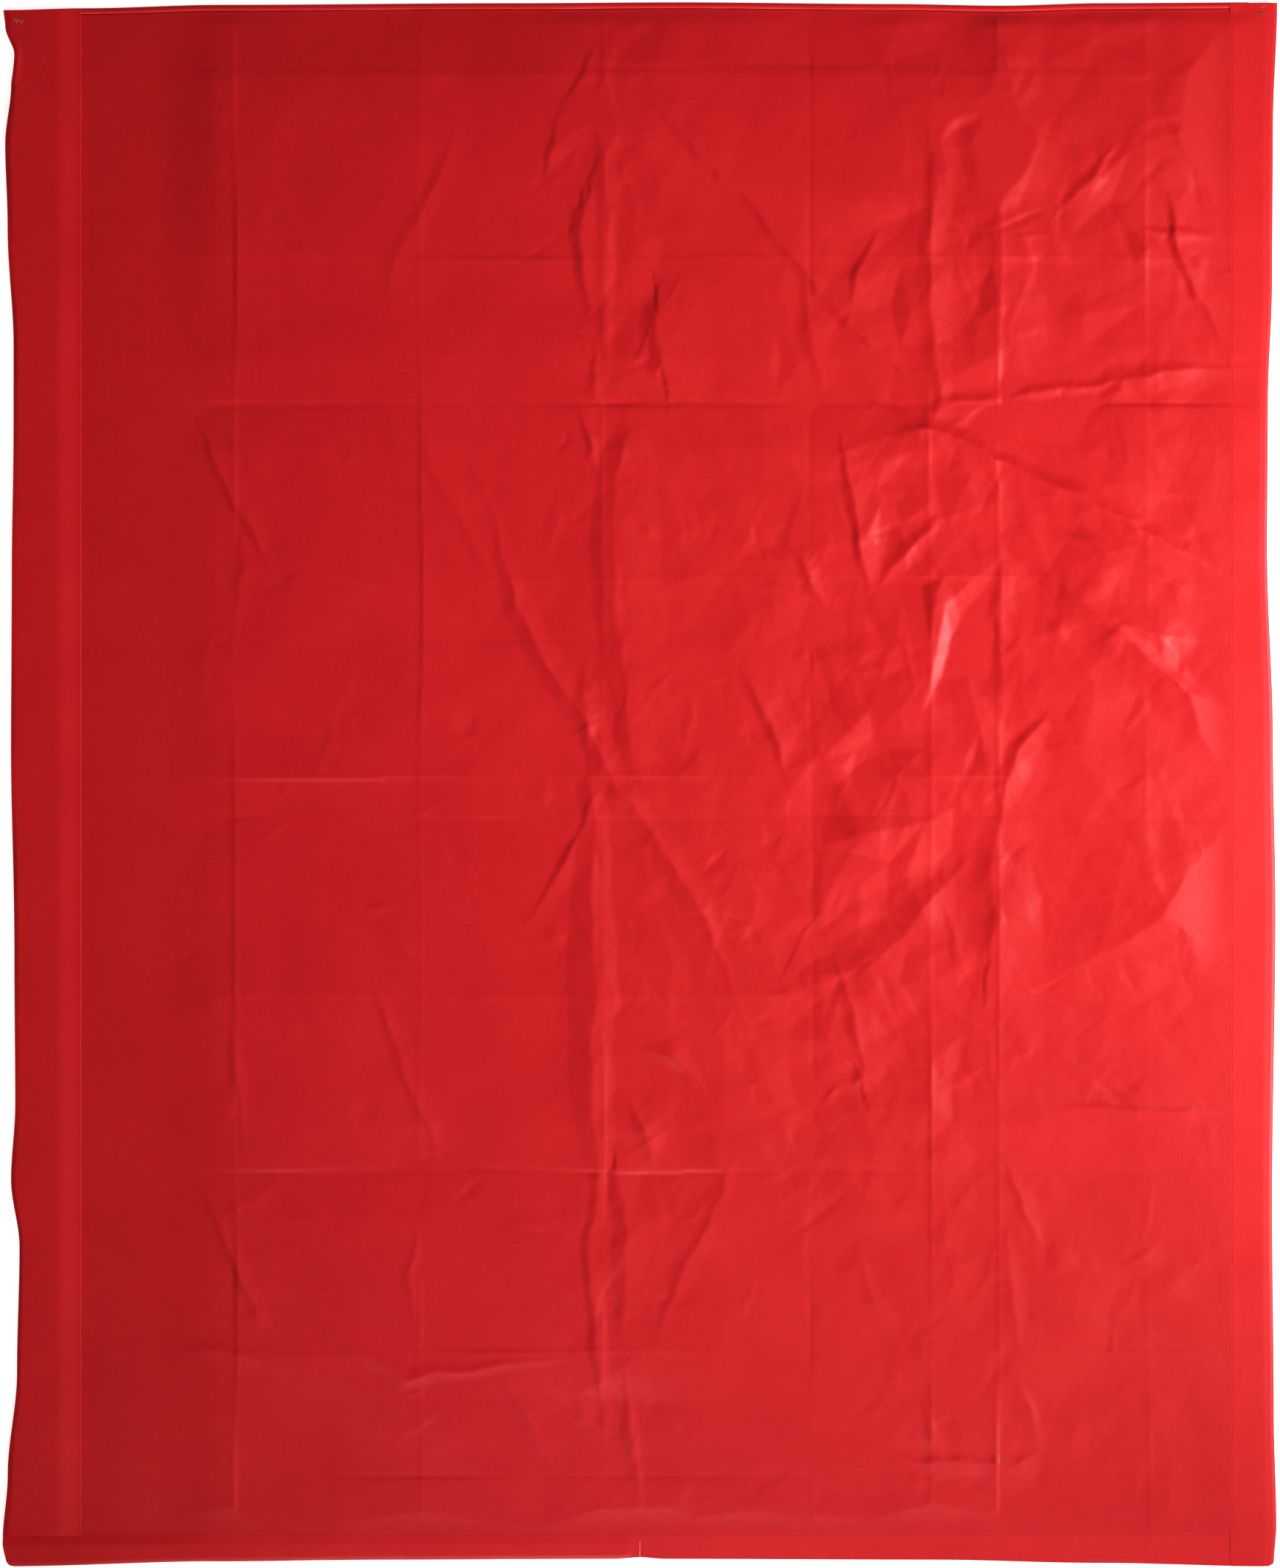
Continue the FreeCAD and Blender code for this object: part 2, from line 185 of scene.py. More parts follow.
# The larger folds in the lining, by where they are. Each is its height in mm before FOLD_RISE, how
# far in mm its two sides reach to the left and right of its run, and the places that it runs
# through. A third number at a place is the share of that height there. Without one, the share is
# none at an end and all of it elsewhere.
FOLD_RISE = 0.8
FOLDS = {
    "the middle": [
        (1.8, 15, 15, [(-0.031, 0.904), (-0.039, 0.792), (-0.042, 0.690), (-0.040, 0.541, 0.5),
         (-0.039, 0.452)]),
        (3.4, 36, 11, [(-0.045, 0.750), (-0.073, 0.676), (-0.066, 0.611), (-0.056, 0.559)]),
        (1.8, 19, 7, [(-0.051, 0.536), (-0.056, 0.485), (-0.056, 0.449)]),
        (3.6, 60, 27, [(-0.015, 0.440, 0.2), (-0.028, 0.373, 0.8), (-0.034, 0.280), (-0.028, 0.205),
         (-0.015, 0.112, 0.8), (-0.008, -0.005)]),
        (1.8, 19, 14, [(-0.060, 0.154), (-0.066, 0.093), (-0.053, 0.000)]),
        (3.4, 27, 30, [(-0.055, -0.005, 0.5), (-0.056, -0.186), (-0.056, -0.373),
         (-0.051, -0.459, 0.5)]),
        (3.2, 52, 16, [(-0.028, -0.464, 0.8), (-0.018, -0.522), (-0.018, -0.597, 0.8),
         (-0.022, -0.673)]),
        (2.6, 17, 11, [(-0.053, -0.466, 0.7), (-0.056, -0.559, 0.7), (-0.053, -0.671),
         (-0.039, -0.792)]),
        (2.6, 10, 13, [(-0.022, -0.685), (-0.010, -0.764), (-0.001, -0.886)]),
    ],
    "fanning out from the head end": [
        (3, 45, 10, [(-0.042, 0.881), (-0.085, 0.802), (-0.107, 0.741, 0.7), (-0.118, 0.713)]),
        (3, 60, 10, [(-0.001, 0.834), (0.059, 0.764), (0.134, 0.681), (0.213, 0.583), (0.274, 0.522),
         (0.325, 0.466)]),
        (4, 63, 21, [(0.052, 0.611), (0.020, 0.555), (0.027, 0.494), (0.052, 0.455)]),
        (3, 51, 18, [(0.192, 0.620), (0.199, 0.541), (0.218, 0.461)]),
        (3, 27, 10, [(0.281, 0.662), (0.257, 0.606), (0.253, 0.564)]),
        (2, 24, 16, [(0.360, 0.839), (0.355, 0.736), (0.339, 0.625), (0.348, 0.513), (0.360, 0.452)]),
        (4, 90, 58, [(0.430, 0.853, 0.2), (0.426, 0.746), (0.423, 0.662), (0.425, 0.559, 0.8),
         (0.412, 0.466)]),
        (3, 21, 13, [(0.561, 0.764), (0.539, 0.727), (0.488, 0.667)]),
    ],
    "the right side": [
        (3.5, 15, 24, [(0.362, 0.451, 0.7), (0.451, 0.461), (0.618, 0.487), (0.707, 0.494, 0.3)]),
        (6.0, 18, 29, [(0.274, 0.446, 0.2), (0.357, 0.417, 0.8), (0.451, 0.375), (0.544, 0.331),
         (0.618, 0.291), (0.700, 0.244, 0.2)]),
        (2.5, 21, 13, [(0.460, 0.317), (0.544, 0.280), (0.637, 0.238), (0.693, 0.214)]),
        (9, 45, 50, [(0.449, 0.280), (0.511, 0.227, 0.6), (0.567, 0.186), (0.618, 0.175, 0.8),
         (0.667, 0.168)]),
        (7, 21, 44, [(0.570, 0.175, 0.5), (0.637, 0.121), (0.693, 0.065), (0.730, 0.023, 0.2)]),
        (4.5, 45, 10, [(0.625, 0.710), (0.634, 0.648, 0.8), (0.663, 0.580), (0.707, 0.494, 0.2)]),
        (2.5, 12, 8, [(0.682, 0.599), (0.707, 0.611), (0.732, 0.628)]),
        (3.5, 24, 11, [(0.714, 0.601), (0.730, 0.550), (0.744, 0.499)]),
        (2.5, 12, 15, [(0.586, 0.662), (0.628, 0.653), (0.730, 0.653)]),
        (9, 90, 130, [(0.754, -0.056, 0.6), (0.637, -0.149), (0.516, -0.219, 0.4), (0.479, -0.233)]),
        (3.5, 24, 9, [(0.660, -0.061), (0.693, -0.130), (0.721, -0.205), (0.749, -0.266)]),
        (2.5, 9, 18, [(0.460, -0.382), (0.544, -0.387), (0.656, -0.389), (0.721, -0.396)]),
        (3.5, 27, 13, [(0.490, 0.089), (0.451, 0.042), (0.430, -0.009), (0.425, -0.047)]),
    ],
    "right of the middle": [
        (4, 38, 11, [(0.234, 0.415), (0.246, 0.354, 0.8), (0.260, 0.289), (0.276, 0.231)]),
        (3.5, 19, 17, [(0.359, 0.322), (0.320, 0.280), (0.281, 0.235)]),
        (3.5, 19, 14, [(0.171, 0.289), (0.199, 0.252), (0.219, 0.219, 0.3)]),
        (2, 19, 17, [(0.106, 0.247), (0.162, 0.238), (0.218, 0.216)]),
        (3.5, 27, 11, [(0.120, 0.145), (0.148, 0.093), (0.166, 0.047), (0.174, 0.014)]),
        (2.2, 27, 28, [(0.381, 0.168), (0.390, 0.121), (0.404, 0.065), (0.415, 0.023)]),
        (2, 23, 14, [(0.430, 0.266), (0.425, 0.214), (0.435, 0.098)]),
        (4.5, 114, 70, [(0.229, 0.014, 0.2), (0.260, -0.070), (0.218, -0.140), (0.210, -0.200, 0.2)]),
        (3.5, 57, 28, [(0.399, -0.084), (0.357, -0.130), (0.288, -0.198), (0.250, -0.210)]),
        (4.5, 76, 34, [(0.423, -0.056, 0.5), (0.421, -0.140), (0.415, -0.196), (0.423, -0.233, 0.2)]),
        (3.5, 57, 14, [(0.227, -0.200), (0.250, -0.270), (0.264, -0.345), (0.311, -0.387)]),
        (3.5, 27, 17, [(0.003, -0.312), (0.040, -0.326), (0.078, -0.364)]),
        (3.5, 27, 17, [(-0.011, -0.373), (0.003, -0.410), (0.014, -0.457)]),
    ],
    "the cross at the middle": [
        (3.5, 24, 21, [(-0.211, 0.406), (-0.165, 0.289, 0.2), (-0.146, 0.205, 0.8), (-0.109, 0.145),
         (-0.067, 0.079), (-0.025, -0.005, 0.8), (0.017, -0.056, 0.8), (0.059, -0.130),
         (0.095, -0.210, 0.2), (0.154, -0.362)]),
        (2.5, 29, 10, [(-0.053, -0.014, 0.3), (-0.085, -0.075), (-0.141, -0.179)]),
        (2.5, 17, 10, [(-0.070, 0.452), (-0.057, 0.410), (-0.051, 0.364)]),
    ],
    "the left side": [
        (2, 22, 10, [(-0.530, 0.448), (-0.510, 0.392, 0.8), (-0.482, 0.336), (-0.454, 0.284, 0.8),
         (-0.440, 0.252)]),
        (1.5, 26, 12, [(-0.477, 0.298), (-0.472, 0.252), (-0.480, 0.205, 0.3), (-0.482, 0.140)]),
        (2, 20, 10, [(-0.528, -0.466), (-0.496, -0.531, 0.8), (-0.468, -0.601), (-0.433, -0.662)]),
        (1.5, 18, 10, [(-0.318, -0.233), (-0.300, -0.280), (-0.276, -0.345), (-0.253, -0.401),
         (-0.237, -0.457)]),
        (1.5, 15, 12, [(-0.482, -0.270), (-0.477, -0.336), (-0.472, -0.410, 0.3), (-0.470, -0.466)]),
        (1, 22, 12, [(-0.269, 0.448), (-0.248, 0.373), (-0.202, 0.298), (-0.165, 0.233)]),
        (1, 20, 12, [(-0.444, 0.289), (-0.370, 0.256), (-0.276, 0.219), (-0.174, 0.173)]),
        (1, 22, 12, [(-0.211, 0.792), (-0.239, 0.723), (-0.295, 0.625), (-0.297, 0.559)]),
        (1.5, 13, 12, [(-0.267, -0.522), (-0.275, -0.587), (-0.275, -0.652)]),
    ],
    "the foot end": [
        (2, 16, 12, [(-0.160, -0.704), (-0.135, -0.746), (-0.104, -0.820)]),
        (2, 13, 31, [(-0.738, -0.694, 0.3), (-0.659, -0.750), (-0.584, -0.811), (-0.545, -0.862)]),
        (2, 16, 17, [(-0.402, -0.606), (-0.342, -0.671, 0.7), (-0.276, -0.706), (-0.202, -0.694, 0.7),
         (-0.057, -0.680)]),
        (1.5, 13, 22, [(-0.668, -0.664, 0.5), (-0.575, -0.666), (-0.472, -0.676), (-0.416, -0.694)]),
        (1.5, 18, 10, [(0.120, -0.424), (0.078, -0.522), (0.040, -0.597), (0.022, -0.662)]),
        (2, 18, 10, [(0.430, -0.446), (0.455, -0.503), (0.480, -0.564)]),
        (2, 18, 22, [(0.437, -0.527), (0.443, -0.597), (0.453, -0.676)]),
        (2, 13, 26, [(0.453, -0.694), (0.465, -0.746), (0.474, -0.792)]),
        (2, 21, 17, [(0.264, -0.559), (0.278, -0.615), (0.306, -0.666)]),
        (2, 18, 14, [(0.334, -0.727), (0.348, -0.774), (0.356, -0.804)]),
        (3, 10, 31, [(0.292, -0.804), (0.357, -0.800, 0.8), (0.441, -0.809), (0.479, -0.792)]),
        (2, 18, 12, [(0.693, -0.820), (0.721, -0.867), (0.744, -0.918)]),
    ],
}
SMALL_CREASES = 420
# Packing creases: place, strength, and 1 where the cloth stands up or -1 where it sinks in.
UPRIGHT_CREASES = [(-0.481, 0.5, 1), (-0.261, 0.6, 1), (-0.042, 0.5, 1), (0.203, 0.8, -1),
                   (0.344, 0.7, 1), (0.426, 1.2, 1), (0.602, 0.4, 1)]
LEVEL_CREASES = [(0.849, 0.5, -1), (0.625, 0.6, 1), (0.450, 1.2, -1), (0.244, 0.5, 1),
                 (0.169, 0.3, -1), (0.007, 0.8, 1), (-0.041, 0.8, -1), (-0.252, 0.5, 1),
                 (-0.460, 1.3, -1), (-0.673, 0.5, 1), (-0.822, 0.4, -1)]


def ridge(field, xs, ys, warped, height, left_width, right_width, places, fade=1.4):
    """Raises one fold: a crisp crest that dies away on both sides and narrows as it gets lower."""
    best = np.zeros_like(field)
    corner = np.array([xs[0], ys[0]])
    reach = max(left_width, right_width) / 1000
    inner = [0] + [1] * (len(places) - 2) + [0]
    shares = [place[2] if len(place) > 2 else usual for place, usual in zip(places, inner)]
    points = np.array([place[:2] for place in places])
    for p, q, share_p, share_q in zip(points[:-1], points[1:], shares[:-1], shares[1:]):
        i0, j0 = np.maximum(((np.minimum(p, q) - reach - corner) / PITCH).astype(int), 0)
        i1, j1 = ((np.maximum(p, q) + reach - corner) / PITCH).astype(int) + 2
        x, y = (w[j0:j1, i0:i1] for w in warped)
        if not x.size:
            continue
        run = q - p
        t = np.clip(((x - p[0]) * run[0] + (y - p[1]) * run[1]) / (run @ run), 0, 1)
        away = np.hypot(x - p[0] - t * run[0], y - p[1] - t * run[1])
        on_left = run[0] * (y - p[1]) - run[1] * (x - p[0]) > 0
        share = share_p + (share_q - share_p) * t
        wide = np.where(on_left, left_width, right_width) / 1000 * (0.25 + 0.75 * share)
        rise = FOLD_RISE * height / 1000 * share * np.clip(1 - away / wide, 0, 1) ** fade
        best[j0:j1, i0:i1] = np.maximum(best[j0:j1, i0:i1], rise)
    field += best


def crumple_amount(x, y):
    """How creased the cloth is: calm on the left, worst right of the middle."""
    column = np.exp(-(((x - 0.26) / 0.15) ** 2)) * smooth((0.60 - np.abs(y + 0.05)) / 0.25)
    middle = np.exp(-(((x + 0.01) / 0.08) ** 2))
    right_side = smooth((x - 0.1) / 0.3) * (0.35 + 0.3 * smooth((y + 0.1) / 0.3))
    return 0.12 + 0.85 * column + 0.35 * middle + right_side


def crease(across, length_way, strength, way, seed):
    """One packing crease, strong in some stretches, faint in others, and uneven on its two sides."""
    share = np.clip(0.55 + 0.6 * noise(length_way, length_way * 0 + seed, 0.13, 40 + seed), 0, 1.2)
    lean = 0.6 * noise(length_way, length_way * 0 + seed, 0.21, 100 + seed)
    away = np.abs(across)
    sharp = np.clip(1 - away / 0.006, 0, 1)
    wide = np.clip(1 - away / 0.055, 0, 1) * (1 + lean * np.sign(across))
    return way * strength * share * (0.0005 * sharp + 0.0017 * wide)


def small_creases(xs, ys, warped):
    """Many short crisp creases, up and down, mostly on the slant and thickest where it is creased."""
    rng = np.random.default_rng(SEED + 5)
    up, down = np.zeros_like(warped[0]), np.zeros_like(warped[0])
    made = 0
    while made < SMALL_CREASES:
        x, y = rng.uniform(-0.66, 0.68), rng.uniform(-0.85, 0.85)
        length, slant = rng.uniform(0.025, 0.11), rng.normal(0, 0.5) + rng.choice((-1.05, 0.95))
        one_side, other_side = rng.uniform(5, 26), rng.uniform(4, 14)
        height = rng.uniform(0.04, 0.10) * other_side
        if rng.uniform(0, 1.1) > crumple_amount(x, y):
            continue
        across, along_it = math.cos(slant) * length / 2, math.sin(slant) * length / 2
        bend = rng.normal(0, 0.006)
        run = [(x - across, y - along_it), (x + bend, y), (x + across, y + along_it)]
        ridge(up if made % 2 else down, xs, ys, warped, height, one_side, other_side, run, fade=1.0)
        made += 1
    return up - down


def end_bands(x, y):
    """The cloth falls to the head hem and rises to the facing at the foot."""
    fall = 0.0058 * smooth((y - 0.55) / 0.28) * np.clip((0.900 - y) / 0.060, 0, 1)
    rise = 0.0010 * np.clip((-0.80 - y) / 0.085, 0, 1)
    share = 0.85 + 0.15 * smooth((x - 0.15) / 0.25)
    return (fall + rise) * share * (1 + 0.35 * noise(x, y * 0, 0.12, 51))


def make_relief():
    """Heights of the creased lining above its flat level, over the whole bag."""
    xs = np.arange(-HALF_WIDTH - 0.02, HALF_WIDTH + 0.02, PITCH)
    ys = np.arange(-HALF_LENGTH - 0.02, HALF_LENGTH + 0.02, PITCH)
    x, y = np.meshgrid(xs, ys)
    shake = [0.0030 * facets(xs, ys, 0.045, k) + 0.0012 * facets(xs, ys, 0.018, k + 2) for k in (1, 2)]
    warped = x + shake[0], y + shake[1]
    amount = crumple_amount(x, y)
    field = 0.0007 * noise(x, y, 0.30, 5) + 0.0004 * noise(x, y, 0.11, 6) + end_bands(x, y)
    field += 0.0013 * facets(xs, ys, 0.12, 7) * (0.3 + amount)
    field += 0.0013 * facets(xs, ys, 0.050, 8) * amount
    field += 0.0004 * facets(xs, ys, 0.024, 9) * amount
    field += small_creases(xs, ys, warped)
    for k, (place, strength, way) in enumerate(UPRIGHT_CREASES):
        field += crease(x - place - 0.002 * noise(y, y * 0, 0.2, 60 + k), y, strength, way, k)
    for k, (place, strength, way) in enumerate(LEVEL_CREASES):
        field += crease(y - place - 0.002 * noise(x, x * 0, 0.2, 80 + k), x, strength, way, 20 + k)
    for area, folds in FOLDS.items():
        for fold in folds:
            ridge(field, xs, ys, warped, *fold, fade=1.0 if area == "the middle" else 1.4)
    near_sides = smooth((0.70 - x) / 0.06) * smooth((x + 0.70) / 0.06)
    slack = np.clip(field * (0.35 + 0.65 * near_sides) + 0.0020, 0.0001, 0.0095)
    from_strips = np.minimum(y - FACING_IN_Y - 0.005, FACING_IN_X - 0.005 - x)
    slack = np.minimum(slack, 0.0023 + 0.0072 * smooth(from_strips / 0.09))
    under_turned_flap = 0.12 + 0.88 * smooth((x + 0.575) / 0.08)
    sewn = smooth((x + 0.702) / 0.026) * smooth((LINING_SIDE - x) / 0.017)
    sewn = sewn * smooth((HEM_Y - y) / 0.02)
    return xs, ys, slack * under_turned_flap * sewn


def relief_at(x, y):
    """The lining's relief at any places."""
    xs, ys, field = RELIEF
    u = np.clip((x - xs[0]) / PITCH, 0, len(xs) - 1.001)
    v = np.clip((y - ys[0]) / PITCH, 0, len(ys) - 1.001)
    i, j = u.astype(int), v.astype(int)
    return between(field, i, j, u - i, v - j)


# ---------------------------------------------------------------- outline of the cloth

# How far the loose edges stand out past, or stop short of, a true rectangle: place in metres and
# distance in mm.
LEFT_EDGE = [(-0.925, 2), (-0.90, 7), (-0.82, 1), (-0.70, -10), (-0.55, -13), (-0.47, -3),
             (-0.38, -8), (-0.20, -7), (0.05, -3), (0.25, -4), (0.42, -6), (0.52, -6),
             (0.66, 1), (0.76, 4), (0.83, -3), (0.87, -6), (0.905, 4), (0.925, 6)]
RIGHT_EDGE = [(-0.925, 3), (-0.88, 6), (-0.75, 3), (-0.50, 1), (-0.15, 5), (0.05, 2),
              (0.28, -5), (0.45, -4), (0.60, 1), (0.78, 2), (0.925, 7)]
HEAD_EDGE = [(-0.75, -5), (-0.66, -3), (-0.50, 1), (-0.15, 3), (0.05, 4), (0.30, 2),
             (0.43, 0), (0.55, 3), (0.75, 4)]
FOOT_EDGE = [(-0.75, 4), (-0.50, -2), (-0.30, -4), (-0.03, -5), (0.00, -7), (0.03, -5),
             (0.35, -4), (0.55, 0), (0.75, 4)]


def edge_mm(table, at):
    return along(table, at) / 1000


def head_shift(x, y):
    """How far the cloth near the head end is moved along the bag."""
    return edge_mm(HEAD_EDGE, x) * smooth((y - HEM_Y + 0.12) / 0.12)


# ---------------------------------------------------------------- meshes

def mesh_of(name, points, faces, material, smooth_shading=True):
    mesh = bpy.data.meshes.new(name)
    points = np.asarray(points, np.float32).reshape(-1, 3)
    faces = np.asarray(faces, np.int32)
    corners = faces.shape[1]
    mesh.vertices.add(len(points))
    mesh.vertices.foreach_set("co", points.ravel())
    mesh.loops.add(faces.size)
    mesh.loops.foreach_set("vertex_index", faces.ravel())
    mesh.polygons.add(len(faces))
    mesh.polygons.foreach_set("loop_start", np.arange(0, faces.size, corners, dtype=np.int32))
    mesh.polygons.foreach_set("loop_total", np.full(len(faces), corners, np.int32))
    mesh.polygons.foreach_set("use_smooth", np.zeros(len(faces), bool) | smooth_shading)
    mesh.materials.append(material)
    mesh.update(calc_edges=True)
    mesh.validate()
    piece = bpy.data.objects.new(name, mesh)
    bpy.context.scene.collection.objects.link(piece)
    return piece


def grid_faces(rows, cols, start=0):
    """Quads over a grid of points, facing up when X runs along a row and Y along the rows."""
    at = start + np.arange(rows * cols).reshape(rows, cols)
    return np.stack([at[:-1, :-1], at[:-1, 1:], at[1:, 1:], at[1:, :-1]], -1).reshape(-1, 4)


def sheet_of(name, points, material):
    """One layer of cloth through a grid of points."""
    rows, cols = points.shape[:2]
    return mesh_of(name, points, grid_faces(rows, cols), material)


def slab_faces(rows, cols):
    """Top, underside and rim of a grid of points over its copy, and how many faces are rim."""
    count = rows * cols
    at = np.arange(count).reshape(rows, cols)
    rim = np.concatenate([at[0, :], at[1:, -1], at[-1, -2::-1], at[-2:0:-1, 0]])
    after = np.roll(rim, -1)
    faces = [grid_faces(rows, cols), grid_faces(rows, cols, count)[:, ::-1],
             np.stack([after, rim, rim + count, after + count], 1)]
    return np.concatenate(faces), len(rim)


def corner_cut(radius, from_end):
    """How far a rounded corner draws an edge in, by distance from the end of the strip."""
    near = np.clip((radius - from_end) / radius, 0, 1)
    return radius * (1 - np.sqrt(1 - near**2))


def thick_sheet(name, points, material):
    """Cloth with two faces and a flat-shaded rim, its top through a grid of points."""
    for axis in (0, 1):
        line = np.moveaxis(points, axis, 0)
        # A line of points just inside each edge keeps the shading even up to the rim.
        first, last = line[:1] * 0.94 + line[1:2] * 0.06, line[-1:] * 0.94 + line[-2:-1] * 0.06
        line = np.concatenate([line[:1], first, line[1:-1], last, line[-1:]])
        points = np.moveaxis(line, 0, axis)
    up = np.cross(np.gradient(points, axis=1), np.gradient(points, axis=0))
    up /= np.maximum(np.linalg.norm(up, axis=2, keepdims=True), 1e-12)
    under = points - up * CLOTH
    both = np.concatenate([points.reshape(-1, 3), under.reshape(-1, 3)])
    faces, rim = slab_faces(*points.shape[:2])
    return mesh_of(name, both, faces, material, np.arange(len(faces)) < len(faces) - rim)


def tube(path, radius, sides, start=0):
    """Points and faces of a tube along a path; its radius may change along it."""
    path = np.asarray(path, float)
    ahead = np.gradient(path, axis=0)
    ahead /= np.linalg.norm(ahead, axis=1, keepdims=True)
    level = np.cross(ahead, (0, 0, 1.0))
    level /= np.maximum(np.linalg.norm(level, axis=1, keepdims=True), 1e-9)
    rise = np.cross(level, ahead)
    turn = np.linspace(0, 2 * math.pi, sides, endpoint=False)
    ring = np.cos(turn)[None, :, None] * level[:, None] + np.sin(turn)[None, :, None] * rise[:, None]
    points = path[:, None] + ring * np.broadcast_to(radius, len(path))[:, None, None]
    at = start + np.arange(len(path) * sides).reshape(len(path), sides)
    after = np.roll(at, -1, axis=1)
    faces = np.stack([at[:-1], at[1:], after[1:], after[:-1]], -1).reshape(-1, 4)
    return points.reshape(-1, 3), faces


def joined_tubes(name, paths, radius, sides, material):
    points, faces = [], []
    for path in paths:
        more, quads = tube(path, radius, sides, sum(len(p) for p in points))
        points.append(more)
        faces.append(quads)
    return mesh_of(name, np.concatenate(points), np.concatenate(faces), material)


# ---------------------------------------------------------------- materials

def add_node(tree, kind, **values):
    made = tree.nodes.new(kind)
    for name, value in values.items():
        if name in made.inputs:
            made.inputs[name].default_value = value
        else:
            setattr(made, name, value)
    return made


def new_material(name, **values):
    """A material, its shader, and a texture maker that reads the object's own metres."""
    material = bpy.data.materials.new(name)
    material.use_nodes = True
    tree = material.node_tree
    shader = tree.nodes["Principled BSDF"]
    for socket, value in values.items():
        shader.inputs[socket.replace("_", " ")].default_value = value
    place = tree.nodes.new("ShaderNodeTexCoord").outputs["Object"]

    def texture(kind, **settings):
        made = add_node(tree, kind, **settings)
        tree.links.new(place, made.inputs["Vector"])
        return made

    return material, tree, shader, texture


def shaded(tree, shader, factor, dark, light):
    """Base colour that runs from dark to light with a factor from 0 to 1."""
    ramp = add_node(tree, "ShaderNodeValToRGB")
    ramp.color_ramp.elements[0].color = (*dark, 1)
    ramp.color_ramp.elements[1].color = (*light, 1)
    tree.links.new(factor, ramp.inputs["Fac"])
    tree.links.new(ramp.outputs["Color"], shader.inputs["Base Color"])


def bumped(tree, height, strength, distance, under=None):
    bump = add_node(tree, "ShaderNodeBump", Strength=strength, Distance=distance)
    tree.links.new(height, bump.inputs["Height"])
    if under is not None:
        tree.links.new(under, bump.inputs["Normal"])
    return bump.outputs["Normal"]


def mixed(tree, operation, first, second):
    """One number from two, where the second may be another node's or a plain value."""
    made = add_node(tree, "ShaderNodeMath", operation=operation)
    tree.links.new(first, made.inputs[0])
    if isinstance(second, float):
        made.inputs[1].default_value = second
    else:
        tree.links.new(second, made.inputs[1])
    return made.outputs[0]


def ranged(tree, value, **ends):
    """A value moved to another range."""
    made = add_node(tree, "ShaderNodeMapRange")
    for name, end in ends.items():
        made.inputs[name.replace("_", " ")].default_value = end
    tree.links.new(value, made.inputs["Value"])
    return made.outputs["Result"]


def nylon(name, colour, roughness=0.45, mottle=0.10):
    """Thin coated nylon: satin, with a fine plain weave, a faint mottle and small puckers."""
    material, tree, shader, texture = new_material(
        name, Specular_IOR_Level=0.44, Sheen_Weight=0.05, Sheen_Roughness=0.4,
        Coat_Weight=0.06, Coat_Roughness=0.34, IOR=1.5,
    )
    cloud = texture("ShaderNodeTexNoise", Scale=8.0, Detail=4.0, Roughness=0.6).outputs["Fac"]
    grain = texture("ShaderNodeTexNoise", Scale=330.0, Detail=3.0, Roughness=0.75).outputs["Fac"]
    fine, broad = mixed(tree, "MULTIPLY", grain, 0.75), mixed(tree, "MULTIPLY", cloud, 0.25)
    blend = mixed(tree, "ADD", fine, broad)
    shaded(tree, shader, ranged(tree, blend, From_Min=0.36, From_Max=0.64),
           [c * (1 - mottle) for c in colour], [c * (1 + mottle) for c in colour])
    rough = ranged(tree, cloud, To_Min=roughness - 0.04, To_Max=roughness + 0.06)
    tree.links.new(rough, shader.inputs["Roughness"])
    warp = texture("ShaderNodeTexWave", Scale=280.0, bands_direction="X").outputs["Fac"]
    weft = texture("ShaderNodeTexWave", Scale=280.0, bands_direction="Y").outputs["Fac"]
    weave = bumped(tree, mixed(tree, "MULTIPLY", warp, weft), 0.12, 0.0002)
    pucker = texture("ShaderNodeTexNoise", Scale=120.0, Detail=3.0, Roughness=0.6).outputs["Fac"]
    soft = bumped(tree, pucker, 0.14, 0.0012, weave)
    tree.links.new(soft, shader.inputs["Normal"])
    return material


def woven_tape(name, colour):
    """Zip tape: matt polyester in a herringbone."""
    material, tree, shader, texture = new_material(
        name, Specular_IOR_Level=0.35, Sheen_Weight=0.25, Sheen_Roughness=0.5, Roughness=0.75,
    )
    slant = texture("ShaderNodeTexWave", Scale=160.0, bands_direction="DIAGONAL").outputs["Fac"]
    across = texture("ShaderNodeTexWave", Scale=90.0, bands_direction="Y").outputs["Fac"]
    weave = mixed(tree, "MULTIPLY", slant, across)
    shaded(tree, shader, weave, [c * 0.75 for c in colour], colour)
    tree.links.new(bumped(tree, weave, 0.5, 0.0003), shader.inputs["Normal"])
    return material


def spun_thread(name, colour):
    """Sewing thread: two twisted plies, a little shiny."""
    material, tree, shader, texture = new_material(
        name, Specular_IOR_Level=0.35, Sheen_Weight=0.1, Sheen_Roughness=0.35, Roughness=0.6,
    )
    twist = texture("ShaderNodeTexWave", Scale=420.0, bands_direction="DIAGONAL").outputs["Fac"]
    shaded(tree, shader, twist, [c * 0.7 for c in colour], colour)
    tree.links.new(bumped(tree, twist, 0.4, 0.0002), shader.inputs["Normal"])
    return material


def moulded(name, colour, roughness, **values):
    """Plastic or painted metal, with fine scratches and a little wear."""
    material, tree, shader, texture = new_material(name, **values)
    wear = texture("ShaderNodeTexNoise", Scale=260.0, Detail=5.0, Roughness=0.7).outputs["Fac"]
    shaded(tree, shader, wear, [c * 0.6 for c in colour], [min(1, c * 1.35) for c in colour])
    rough = ranged(tree, wear, To_Min=roughness - 0.1, To_Max=roughness + 0.15)
    tree.links.new(rough, shader.inputs["Roughness"])
    tree.links.new(bumped(tree, wear, 0.15, 0.0001), shader.inputs["Normal"])
    return material


